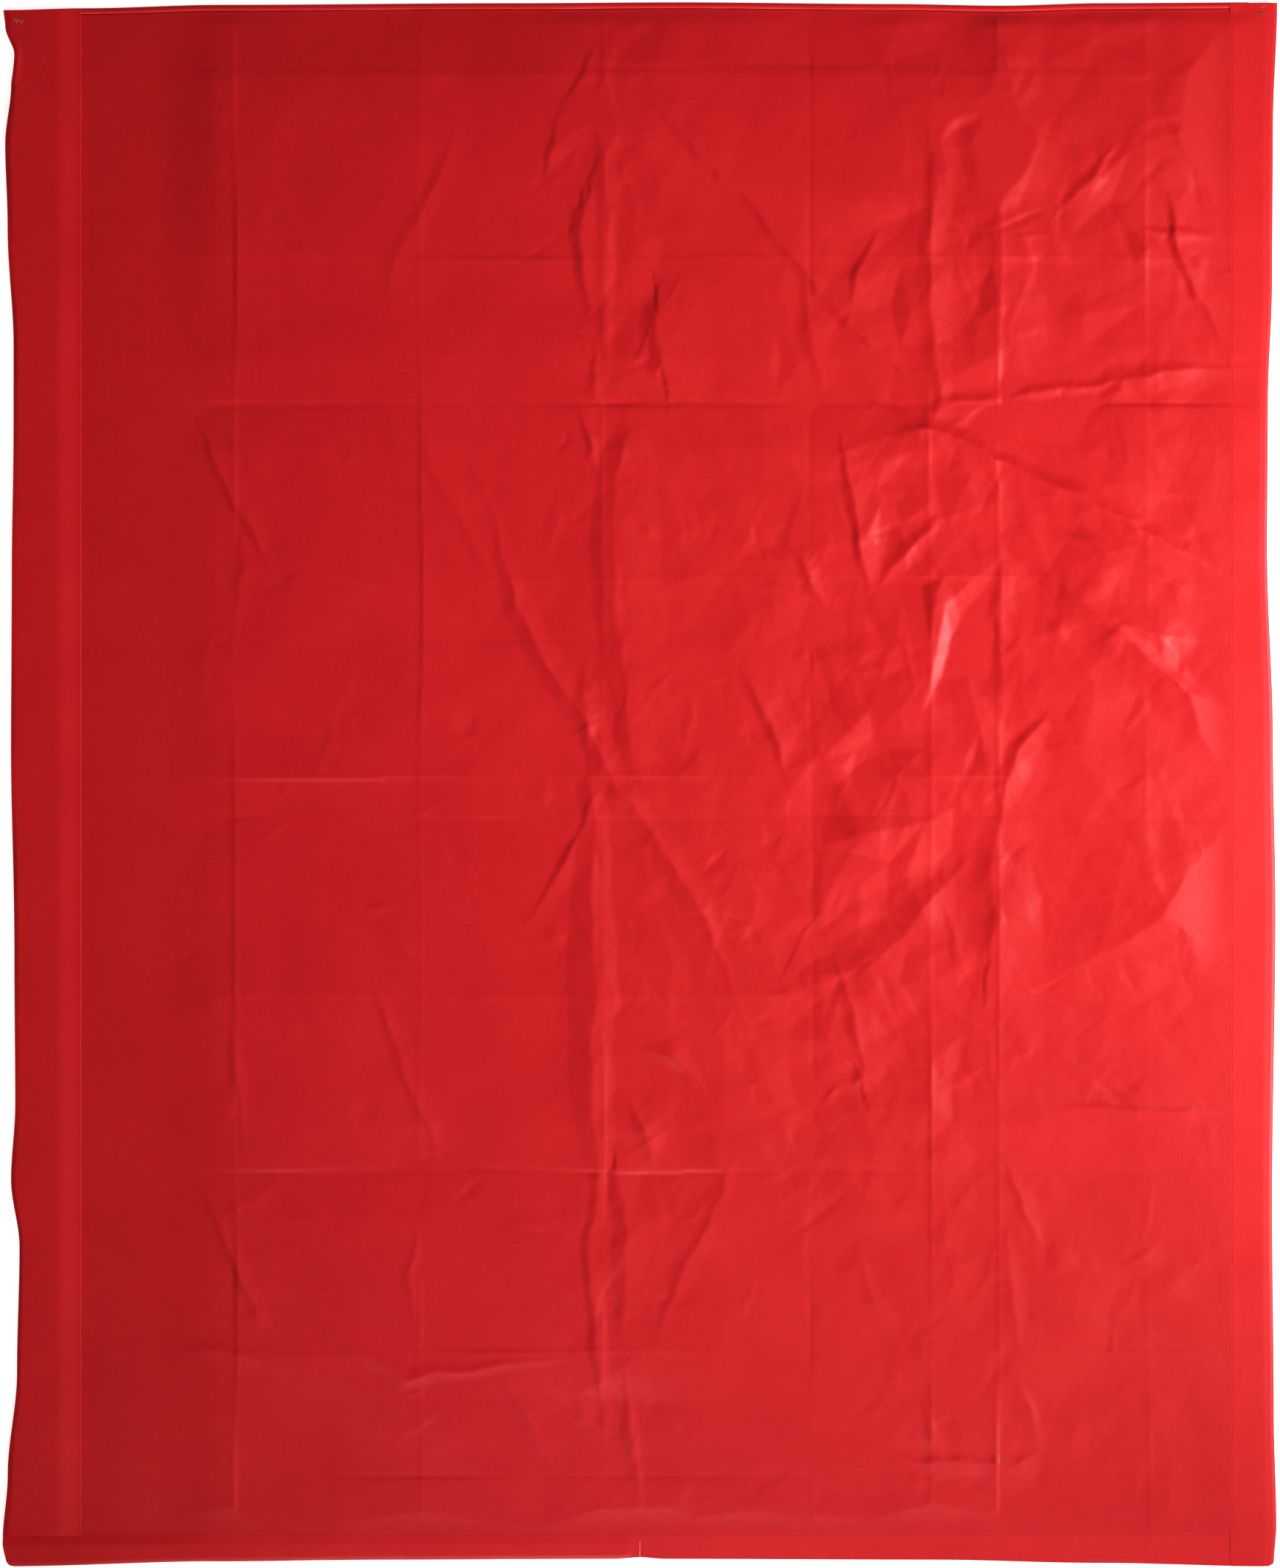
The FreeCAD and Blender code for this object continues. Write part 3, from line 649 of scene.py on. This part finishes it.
def fibre_fill(name):
    """Bonded white polyester fibre."""
    material, tree, shader, texture = new_material(
        name, Specular_IOR_Level=0.2, Sheen_Weight=0.6, Sheen_Roughness=0.6, Roughness=0.95,
    )
    fluff = texture("ShaderNodeTexNoise", Scale=140.0, Detail=8.0, Roughness=0.8).outputs["Fac"]
    shaded(tree, shader, fluff, (0.62, 0.60, 0.57), (0.9, 0.89, 0.87))
    tree.links.new(bumped(tree, fluff, 0.8, 0.002), shader.inputs["Normal"])
    return material


# ---------------------------------------------------------------- where the cloth lies

def on_lining(x, y):
    return LINING_Z + relief_at(x, y)


def lining_point(x, y):
    return np.stack([x, y + head_shift(x, y), on_lining(x, y)], -1)


def side_facing_point(inset, y):
    """On the strip over the zip down the free side, by distance in from the true edge."""
    x = HALF_WIDTH - inset
    over_foot = smooth((FACING_IN_Y + 0.012 - y) / 0.020)
    section = [(0, 0.0050), (0.004, FREE_TOP - 0.0005), (0.012, FREE_TOP), (0.027, FREE_TOP)]
    crown = along(section, inset)
    beside = on_lining(FACING_IN_X - 0.002 + 0 * x, y) + SIDE_CLEAR
    inner = beside * (1 - over_foot) + (FREE_TOP + 0.0005) * over_foot
    on = smooth((inset - 0.006) / (HALF_WIDTH - FACING_IN_X - 0.006))
    z = np.maximum(crown * (1 - on) + inner * on, on_lining(x, y) + SIDE_CLEAR)
    foot = edge_mm(FOOT_EDGE, x) * smooth(1 - (y + HALF_LENGTH) / 0.03)
    out = edge_mm(RIGHT_EDGE, y) * smooth(1 - inset / 0.03)
    return np.stack([x + out, y - foot + head_shift(x, y), np.maximum(z, 0.0052)], -1)


def foot_facing_point(x, inset, crown):
    """On a strip over the zip across the foot, by distance in from the true edge."""
    y = inset - HALF_LENGTH
    on = smooth((inset - 0.020) / 0.016)
    crown = FREE_TOP + (crown - FREE_TOP) * smooth(np.abs(x) / 0.018)
    rolled = crown - along([(0, 0.0013), (0.0015, 0.0004), (0.005, 0), (0.036, 0)], inset)
    inner = on_lining(x, FACING_IN_Y + 0.002 + 0 * y) + FOOT_CLEAR
    z = np.maximum(rolled * (1 - on) + inner * on, on_lining(x, y) + FOOT_CLEAR)
    left = edge_mm(LEFT_EDGE, y) * smooth(1 - (x + HALF_WIDTH) / 0.05)
    return np.stack([x - left, y - edge_mm(FOOT_EDGE, x) * smooth(1 - inset / 0.03), z], -1)


def flap_point(share, y):
    """On the flap, by share of its width out from its sewn root."""
    width = HALF_WIDTH + FLAP_ROOT_X
    out = edge_mm(LEFT_EDGE, y)
    x = FLAP_ROOT_X - share * width - share * share * out
    root = on_lining(FLAP_ROOT_X + 0 * y, y) + 0.0009
    lift = smooth(share / 0.35)
    edge = smooth((share - 0.93) / 0.07)
    wave = np.minimum(0.0003 + 0.0006 * noise(x, y, 0.07, 32), 0.0004)
    wave = wave * lift * smooth((0.913 - y) / 0.05)
    droop = edge * (0.0009 + 0.0007 * noise(y, y * 0, 0.09, 31))
    curl = smooth((y - 0.828) / 0.02) * smooth((0.889 - y) / 0.02) * smooth((share - 0.83) / 0.17)
    z = root * (1 - lift) + FLAP_TOP * lift + wave - droop + 0.0012 * curl
    return np.stack([x + 0.0010 * curl, y + head_shift(x, y), z], -1)


# ---------------------------------------------------------------- pieces of cloth

def lining(material):
    """The inside cloth, in one piece over both halves."""
    xs, ys, _ = RELIEF
    x, y = np.meshgrid(xs[np.abs(xs) <= LINING_SIDE], ys[(ys >= LINING_FOOT) & (ys <= HEM_Y + 0.002)])
    piece = sheet_of("lining", lining_point(x, y), material)
    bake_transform(piece)
    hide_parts("lining_left", "lining_right")


def outer_shell(material):
    """The outside cloth, flat on the ground, rolled up and in at its sides and foot."""
    corner, roll = 0.032, 0.013
    xs = np.arange(-SHELL_EDGE_X - roll, SHELL_EDGE_X + roll + 1e-6, 0.0052)
    ys = np.arange(SHELL_EDGE_Y - roll, HEM_Y + 0.003, 0.0052)
    edges = [s * (SHELL_EDGE_X + np.arange(-0.006, roll + 1e-6, 0.0013)) for s in (-1, 1)]
    xs = np.unique(np.concatenate([xs[np.abs(xs) > FOLD_CLEAR], FOLD_COLUMNS, *edges]))
    ys = np.unique(np.concatenate([ys, SHELL_EDGE_Y - np.arange(-0.006, roll + 1e-6, 0.0013)]))
    s, t = np.meshgrid(xs, ys)
    core_x = np.clip(s, corner - SHELL_EDGE_X, SHELL_EDGE_X - corner)
    core_y = np.maximum(t, SHELL_EDGE_Y + corner)
    a, b = s - core_x, t - core_y
    reach = np.maximum(np.abs(a), np.abs(b))
    length = np.maximum(np.hypot(a, b), 1e-9)
    roll_in = [(0, 0), (corner - 0.003, corner - 0.003), (corner, corner - 0.0006),
               (corner + 0.003, corner), (corner + 0.006, corner - 0.001), (corner + roll, corner - 0.007)]
    roll_up = [(0, 0), (corner - 0.003, 0), (corner, 0.0006), (corner + 0.003, 0.0022),
               (corner + 0.006, 0.0038), (corner + roll, ALLOWANCE_TOP)]
    out = along(roll_in, reach)
    x, y = core_x + a / length * out, core_y + b / length * out
    swell = 0.0005 * np.abs(noise(x, y, 0.09, 21)) + 0.0002 * np.abs(noise(x, y, 0.035, 22))
    puff = np.minimum(swell, 0.00045)
    z = 0.00005 + along(roll_up, reach) + puff * smooth((corner - 0.004 - reach) / 0.02)
    piece = sheet_of("outer_shell", np.stack([x, y + head_shift(x, y), z], -1)[:, ::-1], material)
    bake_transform(piece)
    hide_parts("outer_shell_left", "outer_shell_right", "edge_allowance_left",
                "edge_allowance_right")


def fill_batt(material):
    """The fibre layer inside, one slab over both halves with soft rounded edges."""
    low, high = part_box("fill_batt_left")[0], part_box("fill_batt_right")[1]
    xs = np.arange(low.x, high.x, 0.012)
    xs = np.unique(np.concatenate([xs[np.abs(xs) > FOLD_CLEAR], FOLD_COLUMNS]))
    ys = np.arange(low.y, high.y, 0.012)
    x, y = np.meshgrid(xs, ys)
    inset = np.minimum.reduce([x - xs[0], xs[-1] - x, y - ys[0], ys[-1] - y])
    middle = (low.z + high.z) / 2
    half = 0.0002 + ((high.z - low.z) / 2 - 0.0004) * np.sqrt(smooth(inset / 0.03))
    half = half * (1 - 0.12 * np.abs(noise(x, y, 0.05, 61)))
    points = [np.stack([x, y, middle + side * half], -1).reshape(-1, 3) for side in (1, -1)]
    piece = mesh_of("fill_batt", np.concatenate(points), slab_faces(*x.shape)[0], material)
    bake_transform(piece)
    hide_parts("fill_batt_left", "fill_batt_right")


def side_facing(material):
    """The strip over the zip down the free side, its foot corner a little rounded."""
    width = HALF_WIDTH - FACING_IN_X
    insets = np.concatenate([np.arange(0, 0.03, 0.0015), np.linspace(0.03, width, 12)])
    inset, y = np.meshgrid(insets[::-1], np.linspace(-HALF_LENGTH, HALF_LENGTH - HEAD_CLEAR, 618))
    points = side_facing_point(inset, y)
    points[..., 0] -= corner_cut(0.006, y + HALF_LENGTH) * smooth(1 - inset / 0.02)
    piece = thick_sheet("side_facing", points, material)
    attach(piece, "right_half")
    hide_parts("side_facing_right")


def foot_facing(side, x_from, x_to, crown, material):
    """The strip over the zip across one half of the foot."""
    width = FACING_IN_Y + HALF_LENGTH
    insets = np.concatenate([np.arange(0, 0.012, 0.0012), np.linspace(0.012, width, 18)])
    x, inset = np.meshgrid(np.linspace(x_from, x_to, int((x_to - x_from) / 0.0030)), insets)
    points = foot_facing_point(x, inset, crown)
    points[..., 0] += corner_cut(0.008, inset) * smooth(1 - (x + HALF_WIDTH) / 0.03)
    piece = thick_sheet(f"foot_facing_{side}_cloth", points, material)
    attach(piece, f"{side}_half")
    return piece


def draft_flap(seam, material):
    """The flap over the zip on the other side, sewn along its root and loose at its edge."""
    foot = FLAP_FOOT_Y - CORNER_LAP
    ys = np.linspace(foot, HALF_LENGTH - HEAD_CLEAR, 606)
    share, y = np.meshgrid(np.linspace(1, 0, 44), ys)
    points = flap_point(share, y)
    piece = thick_sheet("flap_cloth", points, material)
    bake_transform(piece)
    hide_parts("draft_flap")


def flap_seam_strip(material):
    """The turned edge under the flap's root, sewn to the lining."""
    low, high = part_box("flap_seam_strip")
    across, y = np.meshgrid(np.linspace(low.x, high.x, 9), np.arange(low.y, high.y - 0.002, 0.004))
    share = (across - low.x) / (high.x - low.x)
    z = on_lining(across, y) + CLOTH + 0.0002 * smooth(share / 0.5)
    points = np.stack([across, y + head_shift(across, y), z], -1)
    piece = thick_sheet("flap_seam_fold", points, material)
    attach(piece, "left_half")
    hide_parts("flap_seam_strip")
    return piece


def binding_point(share, y):
    low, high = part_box("tape_binding_left")
    crown = np.sqrt(np.clip(1 - np.abs(2 * share - 1) ** 6, 0, 1))
    z = LINING_Z + 0.0004 + (high.z - LINING_Z - 0.0005) * crown
    return np.stack([low.x + share * (high.x - low.x) + 0 * y, y, z], -1)


def tape_binding(material):
    """The band that covers the seam between the lining and the zip tape, under the flap."""
    low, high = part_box("tape_binding_left")
    share, y = np.meshgrid(np.linspace(0, 1, 22), np.arange(low.y, high.y, 0.004))
    piece = thick_sheet("tape_binding", binding_point(share, y), material)
    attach(piece, "left_half")
    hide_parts("tape_binding_left")


def hem_point(x, angle):
    """On the rolled hem, by the angle round it."""
    half_thick, half_wide = HEM_TOP / 2, (HALF_LENGTH - HEM_Y) / 2
    full = 1 + 0.10 * noise(x, 0 * x, 0.03, 41)
    y = (HEM_Y + HALF_LENGTH) / 2 + edge_mm(HEAD_EDGE, x) + half_wide * np.cos(angle)
    z = half_thick + 0.0001 + half_thick * full * np.sin(angle)
    return np.stack([x, y, np.maximum(z, 0.0001)], -1)


def head_hem(material):
    """The rolled hem across the head end."""
    xs = np.arange(-SHELL_EDGE_X, SHELL_EDGE_X + 1e-6, 0.004)
    x, angle = np.meshgrid(xs, np.linspace(0, 2 * math.pi, 21)[:-1], indexing="ij")
    rows, cols = x.shape
    at = np.arange(rows * cols).reshape(rows, cols)
    after = np.roll(at, -1, axis=1)
    faces = np.stack([at[:-1], after[:-1], after[1:], at[1:]], -1).reshape(-1, 4)
    piece = mesh_of("head_hem", hem_point(x, angle), faces, material)
    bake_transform(piece)
    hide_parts("head_hem_left", "head_hem_right")


# ---------------------------------------------------------------- zip and stitching

def zip_line(side, steps):
    """The middle of the coil down one side, round its corner and along the foot, evenly spaced."""
    coil_low, coil_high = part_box(f"zip_coil_{side}")
    sign = -1 if side == "left" else 1
    edge = max(abs(coil_low.x), abs(coil_high.x)) - COIL_WIDTH / 2
    foot = coil_low.y + COIL_WIDTH / 2
    inner = min(abs(coil_low.x), abs(coil_high.x))
    turn = np.linspace(0, math.pi / 2, 24)
    corner = np.stack([edge - ZIP_CORNER + ZIP_CORNER * np.cos(turn),
                       foot + ZIP_CORNER - ZIP_CORNER * np.sin(turn)], 1)
    line = np.concatenate([[(edge, coil_high.y)], corner, [(inner, foot)]])
    lengths = np.concatenate([[0], np.cumsum(np.hypot(*np.diff(line, axis=0).T))])
    at = np.linspace(0, lengths[-1], steps)
    return np.stack([sign * np.interp(at, lengths, line[:, 0]), np.interp(at, lengths, line[:, 1])], 1)


def zip_coil(side, material):
    """One side's coil: a nylon monofilament wound in flat turns."""
    pitch, per_turn = 0.0015, 6
    length = 2 * HALF_LENGTH + HALF_WIDTH
    steps = int(length / pitch) * per_turn
    line = zip_line(side, steps)
    ahead = np.gradient(line, axis=0)
    ahead /= np.linalg.norm(ahead, axis=1, keepdims=True)
    out = np.stack([ahead[:, 1], -ahead[:, 0]], 1)
    angle = np.arange(steps) * 2 * math.pi / per_turn
    wire = 0.00032
    wide, tall = COIL_WIDTH / 2 - wire, (COIL_TOP - COIL_LOW) / 2 - wire
    flat = line + out * (wide * np.cos(angle))[:, None]
    height = (COIL_TOP + COIL_LOW) / 2 + tall * np.sin(angle)
    piece = joined_tubes(f"zip_coil_{side}_wound", [np.column_stack([flat, height])], wire, 4, material)
    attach(piece, f"{side}_half")
    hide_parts(f"zip_coil_{side}")


def stitches(name, body, node, rows, material):
    """Rows of lockstitches on the cloth: short plump thread lengths that dip in at their ends."""
    points, faces = [], []
    turn = np.linspace(0, 2 * math.pi, STITCH_SIDES, endpoint=False)
    one = np.arange(len(STITCH) * STITCH_SIDES).reshape(len(STITCH), STITCH_SIDES)
    for row in rows:
        row = np.asarray(row, float)
        lengths = np.concatenate([[0], np.cumsum(np.linalg.norm(np.diff(row, axis=0), axis=1))])
        count = max(1, int(lengths[-1] / STITCH_PITCH))
        starts = (np.arange(count) + 0.5) * lengths[-1] / count
        place = np.stack([np.interp(starts, lengths, row[:, k]) for k in range(3)], 1)
        ahead = np.stack([np.interp(starts + 0.001, lengths, row[:, k]) for k in range(3)], 1) - place
        ahead /= np.maximum(np.linalg.norm(ahead, axis=1, keepdims=True), 1e-9)
        level = np.cross(ahead, (0, 0, 1.0))
        rings = []
        for back, thick, rise in STITCH:
            centre = place + ahead * STITCH_PITCH * back + np.array((0, 0, THREAD * rise))
            rings.append(centre[:, None] + thick * THREAD * (
                np.cos(turn)[None, :, None] * level[:, None]
                + np.sin(turn)[None, :, None] * np.array((0, 0, 0.7))))
        at = sum(len(p) for p in points) + np.arange(count)[:, None, None] * one.size + one[None]
        points.append(np.stack(rings, 1).reshape(-1, 3))
        after = np.roll(at, -1, axis=2)
        faces.append(np.stack([at[:, :-1], at[:, 1:], after[:, 1:], after[:, :-1]], -1).reshape(-1, 4))
        ends = at[:, (0, -1)]
        faces.append(ends[..., (0, 1, 2, 3)].reshape(-1, 4))
        faces.append(ends[..., (0, 3, 4, 5)].reshape(-1, 4))
    piece = mesh_of(name, np.concatenate(points), np.concatenate(faces), material)
    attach(piece, body)
    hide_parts(node)


def seam_places(node, way):
    """The CAD seam's box, places along its run, and its middle line as often."""
    low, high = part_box(node)
    other = 1 - way
    run = np.arange(low[way], high[way], 0.004)
    return low, high, run, np.full_like(run, (low[other] + high[other]) / 2)


def raised(points):
    """Places on the cloth, lifted by about a third of the thread's radius."""
    points = np.array(points)
    points[..., 2] += THREAD * 0.35
    return points


def all_stitching(material):
    """Every seam that shows, each on the cloth it goes through."""
    for side, crown in (("left", COVER_TOP), ("right", FREE_TOP)):
        node, body = f"head_stitching_{side}", f"{side}_half"
        _, _, xs, ys = seam_places(node, 0)
        stitches(f"{node}_rows", body, node, [raised(lining_point(xs, ys))], material)
        node = f"foot_stitching_{side}"
        _, _, xs, ys = seam_places(node, 0)
        row = raised(foot_facing_point(xs, ys + HALF_LENGTH, crown))
        stitches(f"{node}_rows", body, node, [row], material)
    _, _, ys, xs = seam_places("side_stitching_right", 1)
    row = raised(side_facing_point(HALF_WIDTH - xs, ys))
    stitches("side_stitching_rows", "right_half", "side_stitching_right", [row], material)
    low, high, ys, _ = seam_places("binding_stitching_left", 1)
    band_low, band_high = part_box("tape_binding_left")
    shares = [(x - band_low.x) / (band_high.x - band_low.x) for x in (low.x + THREAD, high.x - THREAD)]
    rows = [raised(binding_point(np.full_like(ys, share), ys)) for share in shares]
    stitches("binding_stitching_rows", "left_half", "binding_stitching_left", rows, material)
    _, _, ys, xs = seam_places("flap_stitching", 1)
    row = raised(np.stack([xs, ys, on_lining(xs, ys)], 1))
    stitches("flap_stitching_rows", "left_half", "flap_stitching", [row], material)


def bar_tack(name, body, node, surface, material):
    """A short dense satin stitch that holds a corner."""
    low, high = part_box(node)
    strands = []
    for x in np.arange(low.x, high.x, 0.00055):
        ys = np.linspace(low.y - 0.0004, high.y + 0.0004, 7)
        points = surface(np.full_like(ys, x), ys)
        points[:, 2] += THREAD * (0.5 * np.sin(np.linspace(0, math.pi, 7)) - 0.3)
        strands.append(points)
    piece = joined_tubes(name, strands, 0.00026, 5, material)
    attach(piece, body)
    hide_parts(node)


def loose_ends(name, body, starts, surface, material):
    """Uncut thread tails that curl on the cloth at a corner."""
    rng = np.random.default_rng(SEED + len(name))
    tails = []
    for x, y in starts:
        turns, size = rng.uniform(0.7, 1.2), rng.uniform(0.003, 0.005)
        angle = np.linspace(0, 2 * math.pi * turns, 28) + rng.uniform(0, 6)
        grow = np.linspace(0.3, 1, 28)
        xs, ys = x + size * grow * np.cos(angle), y + size * grow * 0.7 * np.sin(angle)
        points = surface(xs, ys)
        points[:, 2] += 0.00015 + 0.0001 * np.abs(np.sin(angle * 0.5))
        tails.append(points)
    piece = joined_tubes(name, tails, 0.00018, 5, material)
    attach(piece, body)


def flap_xy(x, y):
    """On the flap, by place."""
    share = (FLAP_ROOT_X - x) / (HALF_WIDTH + FLAP_ROOT_X)
    points = flap_point(share, y)
    points[:, 0] = x
    return points


def facing_xy(x, y):
    """On the side facing, by place."""
    points = side_facing_point(HALF_WIDTH - x, y)
    points[:, 0] = x
    return points


def hard_parts(tape, plastic, metal):
    """Materials for the CAD nodes that keep their own shape."""
    for material, names in (
        (tape, ["zip_tape_left", "zip_tape_right"]),
        (plastic, ["retainer_box", "insertion_pin"]),
        (metal, ["side_slider", "side_pull", "foot_slider", "foot_pull", "top_stop_left",
                 "top_stop_right"]),
    ):
        for name in names:
            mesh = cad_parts[name].data
            mesh.materials.clear()
            mesh.materials.append(material)


# ---------------------------------------------------------------- studio

def floor():
    material = bpy.data.materials.new("floor")
    material.use_nodes = True
    shader = material.node_tree.nodes["Principled BSDF"]
    shader.inputs["Base Color"].default_value = (0.85, 0.85, 0.85, 1)
    shader.inputs["Roughness"].default_value = 0.9
    shader.inputs["Emission Color"].default_value = (1, 1, 1, 1)
    shader.inputs["Emission Strength"].default_value = 0.85
    reach, level = 6.0, -0.0002
    corners = [(x * reach, y * reach, level) for x, y in ((-1, -1), (1, -1), (1, 1), (-1, 1))]
    mesh_of("floor", corners, [(0, 1, 2, 3)], material, False)


def lamp(name, place, aim, size, spread, power):
    """A soft box whose light is held to a cone."""
    data = bpy.data.lights.new(name, "AREA")
    data.shape = "SQUARE"
    data.size = size
    data.spread = math.radians(spread)
    data.energy = power
    box = bpy.data.objects.new(name, data)
    box.location = place
    box.rotation_euler = (Vector(aim) - Vector(place)).to_track_quat("-Z", "Y").to_euler()
    bpy.context.scene.collection.objects.link(box)


def studio():
    """A bright box on the right, one beyond the foot, and a little light from all round."""
    world = bpy.data.worlds.new("studio")
    world.use_nodes = True
    world.node_tree.nodes["Background"].inputs["Color"].default_value = (1, 1, 1, 1)
    world.node_tree.nodes["Background"].inputs["Strength"].default_value = 0.05
    bpy.context.scene.world = world
    lamp("right_box", (2.63, -0.30, 1.45), (-0.03, 0.42, 0), 0.8, 91, 37)
    lamp("foot_box", (0.10, -3.00, 1.60), (0.10, 0.40, 0), 0.8, 62, 9)
    bpy.context.scene.view_settings.view_transform = "Standard"


def camera():
    """Straight above, as the bag is shown, with its whole outline just inside the frame."""
    data = bpy.data.cameras.new("camera")
    data.lens, data.sensor_width = 85, 36
    data.clip_end = 50
    view = bpy.data.objects.new("camera", data)
    frame_height = 2 * HALF_LENGTH * 1.0078
    view.location = (0, 0, frame_height * data.lens / data.sensor_width)
    bpy.context.scene.collection.objects.link(view)
    bpy.context.scene.camera = view


floor()
studio()
camera()
RELIEF = make_relief()

inside_cloth = nylon("inside_nylon", (0.62, 0.0045, 0.0075))
# The edge strips use the lining's nylon with its colour painted a little lighter. This is painted light:
# it stands in for the brighter glow where the white floor's light shows through the thinner cloth at the
# edges.
trim_cloth_painted_lighter = nylon("trim_nylon_painted_lighter", (0.68, 0.0058, 0.0092))
shell_cloth = nylon("shell_nylon", (0.60, 0.0045, 0.0075), roughness=0.36)
seam_thread = spun_thread("seam_thread", (0.62, 0.007, 0.010))
tack_thread = spun_thread("tack_thread", (0.62, 0.07, 0.06))
loose_thread = spun_thread("loose_thread", (0.85, 0.24, 0.20))
zip_cloth = woven_tape("zip_cloth", (0.42, 0.006, 0.009))
zip_nylon = moulded("zip_nylon", (0.40, 0.008, 0.010), 0.35, Specular_IOR_Level=0.5, IOR=1.53)
painted_metal = moulded("painted_metal", (0.34, 0.010, 0.012), 0.32, Specular_IOR_Level=0.6,
                        Coat_Weight=0.4, Coat_Roughness=0.2)

lining(inside_cloth)
outer_shell(shell_cloth)
fill_batt(fibre_fill("fibre_fill"))
side_facing(trim_cloth_painted_lighter)
left_foot = foot_facing("left", -HALF_WIDTH, -SIDE_CLEAR, COVER_TOP, trim_cloth_painted_lighter)
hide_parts("foot_facing_left")
right_foot = foot_facing("right", SIDE_CLEAR, FACING_IN_X + CORNER_LAP, FREE_TOP, trim_cloth_painted_lighter)
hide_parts("foot_facing_right")
draft_flap(flap_seam_strip(trim_cloth_painted_lighter), trim_cloth_painted_lighter)
tape_binding(trim_cloth_painted_lighter)
head_hem(trim_cloth_painted_lighter)
zip_coil("left", zip_nylon)
zip_coil("right", zip_nylon)
all_stitching(seam_thread)
bar_tack("flap_tack", "flap", "flap_bar_tack", flap_xy, tack_thread)
bar_tack("side_tack", "right_half", "side_bar_tack", facing_xy, tack_thread)
loose_ends("flap_thread_ends", "flap", [(-0.742, 0.912), (-0.736, 0.908)], flap_xy, loose_thread)
loose_ends("side_thread_ends", "right_half", [(0.739, 0.9195)], facing_xy, loose_thread)
hard_parts(zip_cloth, zip_nylon, painted_metal)
